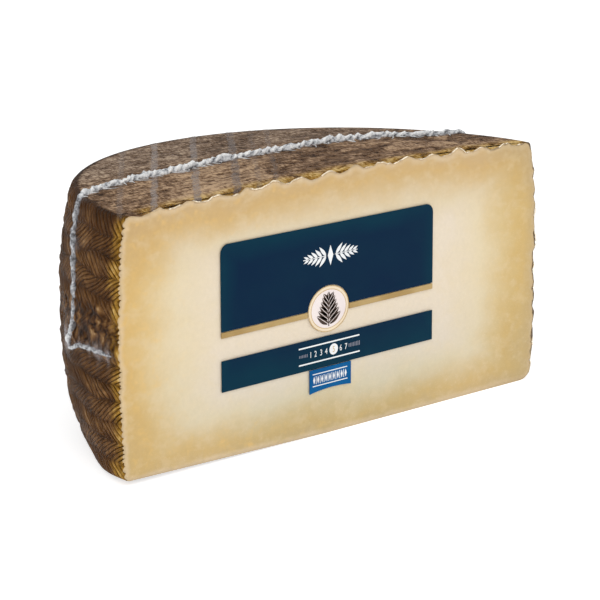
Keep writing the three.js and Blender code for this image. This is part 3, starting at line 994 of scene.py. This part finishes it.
# The seam's route: degrees from straight up about the middle of the height, and depth behind the cut
SEAM_ROUTE = [
    (-91.3, 4), (-91.3, 11), (-91.5, 18), (-92.3, 27), (-94, 34.5), (-94.4, 38), (-92.6, 37), (-89.5, 32.5),
    (-84, 30.5), (-76, 31.3), (-69.5, 34), (-65, 35.3), (-62.3, 36.3), (-60, 39.3), (-56, 41), (-45, 41.4),
    (-28, 43.6), (-14, 43.8), (4, 45), (18, 44.3), (33, 44.5), (43, 43), (50, 40.5), (56, 37.3),
    (60, 31.5), (66, 29.5), (76, 30), (84, 31), (90, 34), (94, 38), (94.5, 34.5), (93, 26),
    (91.8, 16), (92.3, 5),
]
SEAM_HEIGHT = 2.0
SEAM_WIDTH = 1.9
SIDE_SEAM_SHARE = 0.8
FOLD_HEIGHT = 1.4
FOLD_LEVEL = 45.0

# Where the seam is folded over on the left side, and the middle of a milky patch on the film beside it, a
# painted sheen
FOLD_CORNER = np.array([-92.0, 36.0, 45.0])
FOLD_SHEEN = np.array([-90.8, 40.0, 43.6])

# The seam's section, the spacing of its pleats, and how sharply its way out turns at the rim
SEAM_SIDES = 18
PLEAT_PITCH = 2.3
OUT_POWER = 13

# Pale milky bands on the film over the top: place along the cut, half width, strength
BAND_SLANT = 0.79
BAND_PLACES = [
    (-99, 1.2, 110), (-84, 1.3, 175), (-65.5, 1.4, 185),
    (-47.5, 1.6, 178), (-37.5, 1.1, 110), (-29.5, 1.0, 130),
]


def curve_through(controls, count):
    """A smooth curve through the given points, with tangents weighed by their spacing."""
    p = np.asarray(controls, dtype=float)
    p = np.concatenate([[2 * p[0] - p[1]], p, [2 * p[-1] - p[-2]]])
    spans = len(p) - 3
    t = np.linspace(0, spans, count)
    k = np.minimum(t.astype(int), spans - 1)
    w = (t - k)[:, None]
    a, b, c, d = p[k], p[k + 1], p[k + 2], p[k + 3]
    step = lambda u, v: np.maximum(np.linalg.norm(v - u, axis=1, keepdims=True) ** 0.5, 1e-6)
    ab, bc, cd = step(a, b), step(b, c), step(c, d)
    out = ((b - a) / ab - (c - a) / (ab + bc) + (c - b) / bc) * bc
    into = ((c - b) / bc - (d - b) / (bc + cd) + (d - c) / cd) * bc
    level, rising = 3 * w**2 - 2 * w**3, w**3 - 2 * w**2 + w
    return (1 - level) * b + rising * out + level * c + (w**3 - w**2) * into


def on_surface(turn, y):
    """Where the rays from the middle of the height leave the half wheel."""
    near = np.zeros(len(turn))
    far = np.full(len(turn), 2 * RADIUS)
    for _ in range(36):
        reach = (near + far) / 2
        x, z = reach * np.sin(turn), HEIGHT / 2 + reach * np.cos(turn)
        held = np.clip(z, 0, RIM_HEIGHT)
        inside = (np.hypot(x, y) < side_radius(np.arctan2(y, x), held)) & (z < top_height(x, y))
        near = np.where(inside, reach, near)
        far = np.where(inside, far, reach)
    return np.column_stack([near * np.sin(turn), y, HEIGHT / 2 + near * np.cos(turn)])


def unit(vectors):
    return vectors / np.linalg.norm(vectors, axis=-1, keepdims=True)


def outward(p):
    """The way out of the cheese at a place: up on the top, sideways on the side."""
    radius = np.hypot(p[:, 0], p[:, 1])
    level = 2 * p[:, 2] / HEIGHT - 1
    side = (radius / RADIUS) ** OUT_POWER / radius
    rise = np.sign(level) * np.abs(level) ** OUT_POWER
    return unit(np.column_stack([side * p[:, 0], side * p[:, 1], rise]))


def seam_path(step):
    controls = [(turn, y, 0) for turn, y in SEAM_ROUTE]
    trace = curve_through(controls, 900)
    places = on_surface(np.radians(trace[:, 0]), trace[:, 1])
    run = np.concatenate([[0], np.cumsum(np.linalg.norm(np.diff(places, axis=0), axis=1))])
    even = np.arange(0, run[-1], step)
    path = np.column_stack([np.interp(even, run, places[:, k]) for k in range(3)])
    return path, even


def build_seam():
    path, run = seam_path(0.36)
    out = outward(path)
    across = unit(np.cross(unit(np.gradient(path, axis=0)), out))
    t = run[:, None]
    a = 2 * math.pi * np.arange(SEAM_SIDES)[None, :] / SEAM_SIDES
    z = path[:, 2:3]
    on_top = smooth((z - RIM_HEIGHT + 2) / 3)
    low = smooth((FOLD_LEVEL - 1.5 - z) / 2.5)
    hidden = smooth((path[:, 0:1] - 86) / 3) * on_top
    corner = hump(np.linalg.norm(path - FOLD_CORNER, axis=1)[:, None], 0, 5)
    height = mix(FOLD_HEIGHT, SEAM_HEIGHT, smooth((z - FOLD_LEVEL) / 5))
    slim = mix(SIDE_SEAM_SHARE, 1.0, on_top) * mix(1.0, 0.5, low) * mix(1.0, 0.6, hidden) * (1 + 0.7 * corner)
    tall = slim * height * (0.95 + 0.25 * ripple(t, 3.2, 31) + 0.12 * ripple(t, 1.1, 32))
    wide = slim * SEAM_WIDTH / 2 * (1 + 0.3 * ripple(t, 4.1, 33) + 0.15 * ripple(t, 1.3, 34))
    sway = (0.35 * ripple(t, 5.5, 35) + 0.2 * ripple(t, 1.9, 36)) * mix(0.5, 1.0, on_top)
    ends = smooth(np.minimum(t, run[-1] - t) / 4 + 0.25)
    twist = np.sin(2 * a - 2 * math.pi * t / 5.2 - 3.4 * ripple(t, 4.5, 37)) ** 3
    crinkle = noise(t / 0.9, 1.6 * np.cos(a) + 3, 38) + 0.6 * noise(t / 0.55 + 9, 2 * np.sin(a), 39)
    swell = 1 + (0.26 * twist + 0.13 * crinkle) * mix(0.4, 1.0, on_top)
    side = sway + wide * ends * np.cos(a) * swell
    up = tall * (0.35 + 0.65 * ends * np.sin(a) * swell)
    points = path[:, None, :] + across[:, None, :] * side[..., None] + out[:, None, :] * up[..., None]
    points = points.reshape(-1, 3)
    # The fold value carries painted light: highlights on the folds and the tube's upper side, shade in the
    # hollows; it is darker down the side and paler at the corner's knot
    fold = 0.57 + (0.34 * twist + 0.3 * crinkle) * mix(0.7, 1.0, on_top) * (1 - 0.6 * low) + 0.12 * np.sin(a)
    fold = np.clip(fold * mix(0.44, 1.0, on_top) + 0.3 * corner, 0, 1).reshape(-1)

    pleats, pleat_faces, pleat_fold = gather_pleats(path, run, out, across, len(points))
    faces = tube_faces(len(run), SEAM_SIDES) + pleat_faces
    piece = new_object("gathered_seam", np.concatenate([points, pleats]), faces, [seam_material()])
    set_attribute(piece, "fold", np.concatenate([fold, pleat_fold]))
    return piece


def gather_pleats(path, run, out, across, first):
    """Small ridges that spread from the seam's foot over the film, tapering to nothing."""
    points = []
    faces = []
    fold = []
    steps, sides = 9, 6
    for k in range(int(run[-1] / PLEAT_PITCH)):
        n = int(np.searchsorted(run, PLEAT_PITCH * (k + hashed(k, 1, 51))))
        if n < 6 or n > len(run) - 8 or path[n, 2] < RIM_HEIGHT - 1 or path[n, 0] > 84:
            continue
        faces += tube_faces(steps, sides, first + len(points))
        way = 1.0 if hashed(k, 2, 52) < 0.72 else -1.0
        forward = across[n] * np.sign(-across[n, 1]) * way
        ahead = unit(path[n + 4] - path[n - 4])
        slant = 0.9 * (2 * hashed(k, 3, 53) - 1)
        length = (1.6 + 3.4 * hashed(k, 4, 54) ** 1.6) * (0.6 if way < 0 else 1.0)
        for j in range(steps):
            s = j / (steps - 1)
            spot = path[n] + (forward + slant * s * ahead) * (0.5 + length * s)
            turn = np.arctan2(spot[0], spot[2] - HEIGHT / 2)
            ground = on_surface(np.array([turn]), np.array([max(spot[1], 0.05)]))[0]
            size = (0.42 * (1 - s) ** 0.7 + 0.05) * (0.8 + 0.4 * hashed(k, j, 55))
            for i in range(sides):
                a = 2 * math.pi * i / sides
                offset = ahead * math.cos(a) * size + out[n] * (0.1 + math.sin(a) * size * 0.55)
                points.append(ground + offset)
                # Painted light: each pleat is lighter on its upper side, darker below and towards its tip
                fold.append(0.62 + 0.3 * math.sin(a) + 0.25 * hashed(k, j + i, 56) - 0.25 * s)
    return np.array(points), faces, np.clip(np.array(fold), 0, 1)


def film_marks(points):
    """How far the film is gathered near the seam, 0 to 1, plus a milky patch beside the fold that is a
    painted sheen.
    """
    path, run = seam_path(0.8)
    nearest = np.zeros(len(points), dtype=int)
    for start in range(0, len(points), 4000):
        part = points[start : start + 4000]
        gaps = ((part[:, None, :] - path[None]) ** 2).sum(axis=2)
        nearest[start : start + 4000] = gaps.argmin(axis=1)
    spot, place = path[nearest], run[nearest]
    gap = np.linalg.norm(points - spot, axis=1)
    reach = 0.9 + 1.3 * (ripple(place, 2.4, 41) + 0.5) * np.where(points[:, 1] < spot[:, 1], 1.2, 0.7)
    pleat = np.exp(-gap / np.maximum(reach, 0.4)) * (0.55 + 0.45 * ripple(place, 0.9, 42))
    below = mix(1.0, 0.25, smooth((spot[:, 2] - points[:, 2]) / 0.8) * (spot[:, 2] < FOLD_LEVEL))
    # A painted sheen: a milky patch on the film beside the fold
    fold_sheen = hump(np.linalg.norm(points - FOLD_SHEEN, axis=1), 0, 4.2) * (points[:, 1] > 36)
    return pleat * below + 0.8 * fold_sheen


def build_film():
    """The film drawn tight over the cheese, lying on the strands' ridges."""
    levels = side_levels([0.0, 0.17, 0.34, 0.5, 0.66, 0.83])
    z, angle = np.meshgrid(levels, np.linspace(0, math.pi, 300), indexing="ij")
    along = angle * RADIUS
    relief = 0.3 + rows_relief(along, z, row_of(z)[1]) + right_waves(angle, z)
    relief = relief + crushed(along, z) * CRUMPLE_HEIGHT * np.maximum(crumples(along, z), -0.2)
    radius = side_radius(angle, z) + within_rims(z, 3) * relief + 0.1
    height = np.where(z == RIM_HEIGHT, RIM_HEIGHT + FILM_GAP, z + wander(along, z))
    height[z == 0] = -FILM_GAP
    y = np.where((angle < 1e-6) | (angle > math.pi - 1e-6), -FILM_GAP, radius * np.sin(angle))
    points = np.stack([radius * np.cos(angle), y, height], axis=-1).reshape(-1, 3)

    def film_top(x, y):
        return top_values(x, y)[0] + 0.12, [np.zeros(len(x))]

    def film_cut(outline, flat):
        return [np.zeros(len(flat))]

    body = Body()
    faces = grid_faces(*z.shape).tolist()
    close_body(body, points, faces, [np.zeros(len(points))], 1.2, 4.0, film_top, film_cut, FILM_GAP)
    points, faces, material, _ = body.welded()
    above_base = [face for face, index in zip(faces, material) if index != BASE]
    pleat = film_marks(points)
    points = points + outward(points + [0, 1e-3, 0]) * (0.45 * pleat * (points[:, 2] > 3))[:, None]
    points = raise_foot(points)
    points[:, 2] = np.maximum(points[:, 2], 0.02)
    piece = new_object("film", points, above_base, [film_material()])
    set_attribute(piece, "haze", np.clip(0.8 * pleat, 0, 1))
    return piece


def build_glints():
    """A thin bead where the film folds over the edges of the cut, shown only as painted glints."""
    step, sides = 0.7, 6
    x = np.arange(-95.0, 96.5, step)
    top_edge = np.column_stack([x, top_values(x, x * 0)[0]])
    top_edge[:, 1] = np.where(np.abs(x) > 95.4, RIM_HEIGHT + 0.2, top_edge[:, 1])
    z = np.arange(RIM_HEIGHT - 1.5, 3.0, -step)
    right = side_radius(z * 0, z) + rows_relief(z * 0, z, row_of(z)[1]) + right_waves(z * 0, z)
    line = np.concatenate([top_edge, np.column_stack([right + 0.15, z])])
    run = np.arange(len(line))
    on_right = run >= len(x)
    # Painted glints: on the left flanks of the crests along the top, and in streaks along both edges
    flank = smooth(0.4 + 3.0 * np.gradient(line[:, 1]) / step) * smooth(0.55 + 1.5 * ripple(run, 3.1, 61))
    streak = smooth(1.6 * ripple(run, 6.0, 62) - 0.25) * 0.7
    glint = np.where(on_right, streak, np.maximum(flank, streak)) * smooth((line[:, 0] + 88) / 12)
    points = []
    for k, (px, pz) in enumerate(line):
        size = 0.2 + 0.12 * hashed(k, 7, 63)
        for i in range(sides):
            a = 2 * math.pi * i / sides
            aside = size * math.cos(a)
            y = -0.12 + size * math.sin(a) * 0.8
            points.append([px + aside, y, pz] if on_right[k] else [px, y, pz + aside])
    piece = new_object("film_glints", points, tube_faces(len(line), sides), [glint_material()])
    set_attribute(piece, "glint", np.repeat(glint, sides))
    return piece


# The label


def on_label(u, v, out=0.0):
    """A place on the label: to the right, up, and out from its front, from its middle."""
    return [LABEL_X + u, -LABEL_FRONT - out, LABEL_Z + v + LABEL_RISE * u]


def oval_outline(u, v, wide, tall, count=72):
    turn = np.linspace(0, 2 * math.pi, count, endpoint=False)
    return [(u + wide * math.cos(a), v + tall * math.sin(a)) for a in turn]


def hoop_outlines(u, v, wide, tall, inner, outer):
    """A flat oval hoop between two distances inside the oval's edge, as a row of short pieces."""
    inside = oval_outline(u, v, wide - inner, tall - inner)
    outside = oval_outline(u, v, wide - outer, tall - outer)
    pieces = []
    for k in range(len(inside)):
        j = (k + 1) % len(inside)
        pieces.append([inside[k], outside[k], outside[j], inside[j]])
    return pieces


def bar_outline(left, right, v, thick):
    half = thick / 2
    ends = []
    for a in np.linspace(-math.pi / 2, math.pi / 2, 7):
        ends.append((right + half * math.cos(a), v + half * math.sin(a)))
    for a in np.linspace(math.pi / 2, 3 * math.pi / 2, 7):
        ends.append((left + half * math.cos(a), v + half * math.sin(a)))
    return ends


def turned(points, u, v, turn):
    """Points turned about their start, then moved to a place of the label."""
    c, s = math.cos(turn), math.sin(turn)
    return [(u + a * c - b * s, v + a * s + b * c) for a, b in points]


def leaf_outline(u, v, length, width, turn):
    points = []
    for s in np.linspace(0, 1, 9):
        points.append((s * length, width / 2 * math.sin(math.pi * s**0.8)))
    for s in np.linspace(1, 0, 9)[1:-1]:
        points.append((s * length, -width / 2 * math.sin(math.pi * s**0.8)))
    return turned(points, u, v, turn)


def lozenge(u, v, wide, tall):
    return [(u, v + tall), (u - wide, v), (u, v - tall), (u + wide, v)]


def stroke(left, right, v, tall):
    return [(left, v - tall), (right, v - tall), (right, v + tall), (left, v + tall)]


def print_piece(name, shapes, material, lift=PRINT_LIFT):
    """Printed shapes, each a closed outline, as one thin raised piece."""
    points = []
    faces = []
    for shape in shapes:
        count = len(shape)
        front = len(points)
        points += [on_label(u, v, lift) for u, v in shape]
        base = len(points)
        points += [on_label(u, v, 0.01) for u, v in shape]
        flat = [Vector(p) for p in shape]
        edges = [(k, (k + 1) % count) for k in range(count)]
        _, _, inner, _, _, _ = delaunay_2d_cdt(flat, edges, [], 1, 1e-7)
        faces += [[front + n for n in face] for face in inner]
        faces += [[base + a, base + b, front + b, front + a] for a, b in edges]
    piece = new_object(name, points, faces, [material])
    piece.data.polygons.foreach_set("use_smooth", np.zeros(len(piece.data.polygons), dtype=bool))
    return piece


def digit_shapes(digit, u, v, size, squeeze=0.8):
    """The outlines of a plain numeral, centred on a place of the label."""
    curve = bpy.data.curves.new("numeral", "FONT")
    curve.body = str(digit)
    curve.size = size
    curve.resolution_u = 4
    holder = bpy.data.objects.new("numeral", curve)
    bpy.context.scene.collection.objects.link(holder)
    mesh = bpy.data.meshes.new_from_object(holder.evaluated_get(bpy.context.evaluated_depsgraph_get()))
    places = np.array([vert.co[:2] for vert in mesh.vertices])
    middle = (places.min(axis=0) + places.max(axis=0)) / 2
    places = (places - middle) * [squeeze, 1.0] + [u, v]
    faces = [list(poly.vertices) for poly in mesh.polygons]
    bpy.data.objects.remove(holder)
    bpy.data.curves.remove(curve)
    bpy.data.meshes.remove(mesh)
    return [[tuple(places[n]) for n in face] for face in faces]


def half_leaf(u, v, length, width, turn, side):
    """One half of a leaf, beside its pale midrib."""
    gap = 0.12
    points = [(s * length, side * gap) for s in np.linspace(0.05, 1, 6)]
    for s in np.linspace(0.95, 0.05, 8):
        points.append((s * length, side * (gap + width / 2 * math.sin(math.pi * s**0.85))))
    return turned(points, u, v, turn)


def scale_print():
    """Two lines with the plain numbers 1 to 7 between them, and a disc on the fifth."""
    shapes = [bar_outline(-15.0, 13.8, -17.36, 0.52), bar_outline(-14.9, 14.0, -23.46, 0.52)]
    for digit, u in [(1, -9.5), (2, -7.2), (3, -4.55), (4, -2.1), (6, 4.95), (7, 7.5)]:
        shapes += digit_shapes(digit, u, SCALE_V - 0.1, DIGIT_SIZE, 0.78)
    shapes.append(oval_outline(MARK_U, SCALE_V, 2.05, 2.05, 40))
    return shapes


def scale_ticks():
    """Small strokes at both ends of the scale, low on the left and tall on the right."""
    shapes = []
    for start, count, low, high in [(-15.0, 6, 0.9, 1.2), (8.8, 8, 1.3, 1.7)]:
        for k in range(count):
            u = start + 0.72 * k
            shapes.append(stroke(u, u + 0.34, SCALE_V, mix(low, high, k / (count - 1)) / 2))
    return shapes


def ornament_print():
    """Two leafy sprays either side of a lozenge."""
    shapes = []
    for side in (-1, 1):
        for k in range(5):
            u = 0.2 + side * (2.3 + 2.0 * k)
            for way in (-1, 1):
                rise = way * (0.85 - 0.1 * k)
                turn = rise if side > 0 else math.pi - rise
                shapes.append(leaf_outline(u, ORNAMENT_V, 4.9 - 0.5 * k, 1.35 - 0.13 * k, turn))
        shapes.append(bar_outline(*sorted([side * 2.2, side * 12.8]), ORNAMENT_V, 0.3))
    shapes.append(lozenge(0, ORNAMENT_V, 1.3, 3.7))
    return shapes


def sprig_print(u, v):
    """A leafy sprig drawn like an engraving, with pale midribs and small berries."""
    shapes = [[(u - 0.25, v - 6.4), (u + 0.25, v - 6.4), (u + 0.12, v + 3.2), (u - 0.12, v + 3.2)]]
    for k in range(6):
        foot = v - 5.6 + 1.65 * k
        for side in (-1, 1):
            turn = math.pi / 2 - side * (0.98 - 0.07 * k)
            for half in (-1, 1):
                shapes.append(half_leaf(u + 0.15 * side, foot, 6.7 - 0.55 * k, 2.3 - 0.12 * k, turn, half))
            shapes.append(oval_outline(u + side * (1.15 - 0.1 * k), foot + 0.1, 0.26, 0.26, 10))
    for half in (-1, 1):
        shapes.append(half_leaf(u, v + 3.0, 3.3, 1.6, math.pi / 2, half))
    return shapes


def tag_print():
    """Narrow lozenges and strokes between two lines."""
    shapes = [bar_outline(-8.5, 7.95, -28.03, 0.34), bar_outline(-8.5, 8.05, -32.46, 0.34)]
    for k in range(9):
        u = -7.9 + 1.9 * k
        shapes.append(lozenge(u, TAG_V, 0.48, 1.5))
        if k < 8:
            shapes.append(stroke(u + 0.82, u + 1.08, TAG_V, 1.5))
    return shapes


def build_print():
    """The printed pieces, each with its slot."""
    white = print_material("white_print", (222, 224, 226), (232, 234, 234))
    gold = print_material("gold_ink", (188, 158, 110), (204, 178, 134))
    grey = print_material("grey_ink", (110, 112, 128), (128, 130, 142))
    dark = print_material("dark_ink", (58, 46, 40), (78, 64, 56))
    pale = print_material("pale_ink", (224, 212, 210), (232, 222, 218))
    u, v = MEDALLION_U, MEDALLION_V
    wide, tall = MEDALLION_WIDTH / 2, MEDALLION_HEIGHT / 2
    rings = hoop_outlines(u, v, wide, tall, 0.3, 0.02) + hoop_outlines(u, v, wide, tall, 1.45, 1.2)
    inside = [oval_outline(u, v, wide - 1.45, tall - 1.45)]
    mark = digit_shapes(5, MARK_U, SCALE_V, DIGIT_SIZE, 0.8)
    prints = [
        ("label_scale", "cream_print", scale_print(), white, PRINT_LIFT),
        ("label_scale_mark", "gold_print", mark, gold, 0.09),
        ("label_scale_ticks", "cream_print", scale_ticks(), grey, PRINT_LIFT),
        ("label_ornament", "cream_print", ornament_print(), white, PRINT_LIFT),
        ("medallion_rings", "gold_print", rings, gold, PRINT_LIFT),
        ("medallion_inside", "cream_print", inside, pale, 0.03),
        ("medallion_sprig", "cream_print", sprig_print(u, v), dark, 0.07),
        ("tag_ornament", "cream_print", tag_print(), white, PRINT_LIFT),
    ]
    return [(slot, print_piece(name, shapes, ink, lift)) for name, slot, shapes, ink, lift in prints]


def dress_label():
    navy = navy_material()
    finishes = {
        "label_field": navy,
        "label_band": navy,
        "label_stripe_left": print_material("stripe_ink", (164, 136, 88), (180, 154, 106)),
        "label_medallion": print_material("cream_ink", (226, 208, 180), (232, 216, 190)),
        "label_tag": print_material("blue_ink", (8, 80, 134), (12, 90, 144)),
    }
    finishes["label_stripe_right"] = finishes["label_stripe_left"]
    for name, material in finishes.items():
        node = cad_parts[name]
        for slot in node.material_slots:
            slot.material = material


# The stage


def build_stage():
    mesh = bpy.data.meshes.new("floor")
    corners = [(x * FLOOR_REACH, y * FLOOR_REACH, 0) for x, y in [(-1, -1), (1, -1), (1, 1), (-1, 1)]]
    mesh.from_pydata(corners, [], [(0, 1, 2, 3)])
    mesh.materials.append(floor_material())
    floor = bpy.data.objects.new("floor", mesh)
    bpy.context.scene.collection.objects.link(floor)

    world = bpy.data.worlds.new("soft_room")
    world.use_nodes = True
    background = world.node_tree.nodes["Background"]
    background.inputs["Color"].default_value = (1.0, 1.0, 1.0, 1.0)
    background.inputs["Strength"].default_value = 0.68
    bpy.context.scene.world = world

    soft_light("key", (-0.9, -1.3, 1.3), 1.2, 11)
    soft_light("fill", (1.3, -0.9, 0.8), 1.2, 4)


def soft_light(name, place, size, power):
    data = bpy.data.lights.new(name, "AREA")
    data.size = size
    data.energy = power
    lamp = bpy.data.objects.new(name, data)
    lamp.location = place
    lamp.rotation_euler = (Vector((0, 0, 0.05)) - Vector(place)).to_track_quat("-Z", "Y").to_euler()
    bpy.context.scene.collection.objects.link(lamp)


def build_camera():
    """The photograph's view, looking along the camera's turn and down by its tilt."""
    right = Vector((math.cos(CAMERA_TURN), -math.sin(CAMERA_TURN), 0))
    level = math.cos(CAMERA_TILT)
    ahead = Vector((math.sin(CAMERA_TURN) * level, math.cos(CAMERA_TURN) * level, -math.sin(CAMERA_TILT)))
    up = right.cross(ahead)
    c, s = math.cos(CAMERA_ROLL), math.sin(CAMERA_ROLL)
    side = right * c - up * s
    top = right * s + up * c
    data = bpy.data.cameras.new("camera")
    data.sensor_width = SENSOR_WIDTH
    data.lens = CAMERA_FOCUS / PHOTO_WIDTH * SENSOR_WIDTH
    data.clip_end = 50
    camera = bpy.data.objects.new("camera", data)
    place = Vector((CAMERA_TARGET + AXIS) * MM) - ahead * (CAMERA_DISTANCE * MM)
    camera.matrix_world = Matrix.Translation(place) @ Matrix((side, top, -ahead)).transposed().to_4x4()
    bpy.context.scene.collection.objects.link(camera)
    bpy.context.scene.camera = camera


build_camera()
build_stage()
bpy.context.scene.view_settings.view_transform = "Standard"

half_wheel = build_half_wheel()
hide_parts("cheese")
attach(half_wheel, "root")

film = build_film()
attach(film, "root")

glints = build_glints()
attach(glints, "root")

seam = build_seam()
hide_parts("film_seam")
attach(seam, "root")

dress_label()
for slot, piece in build_print():
    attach(piece, "root")
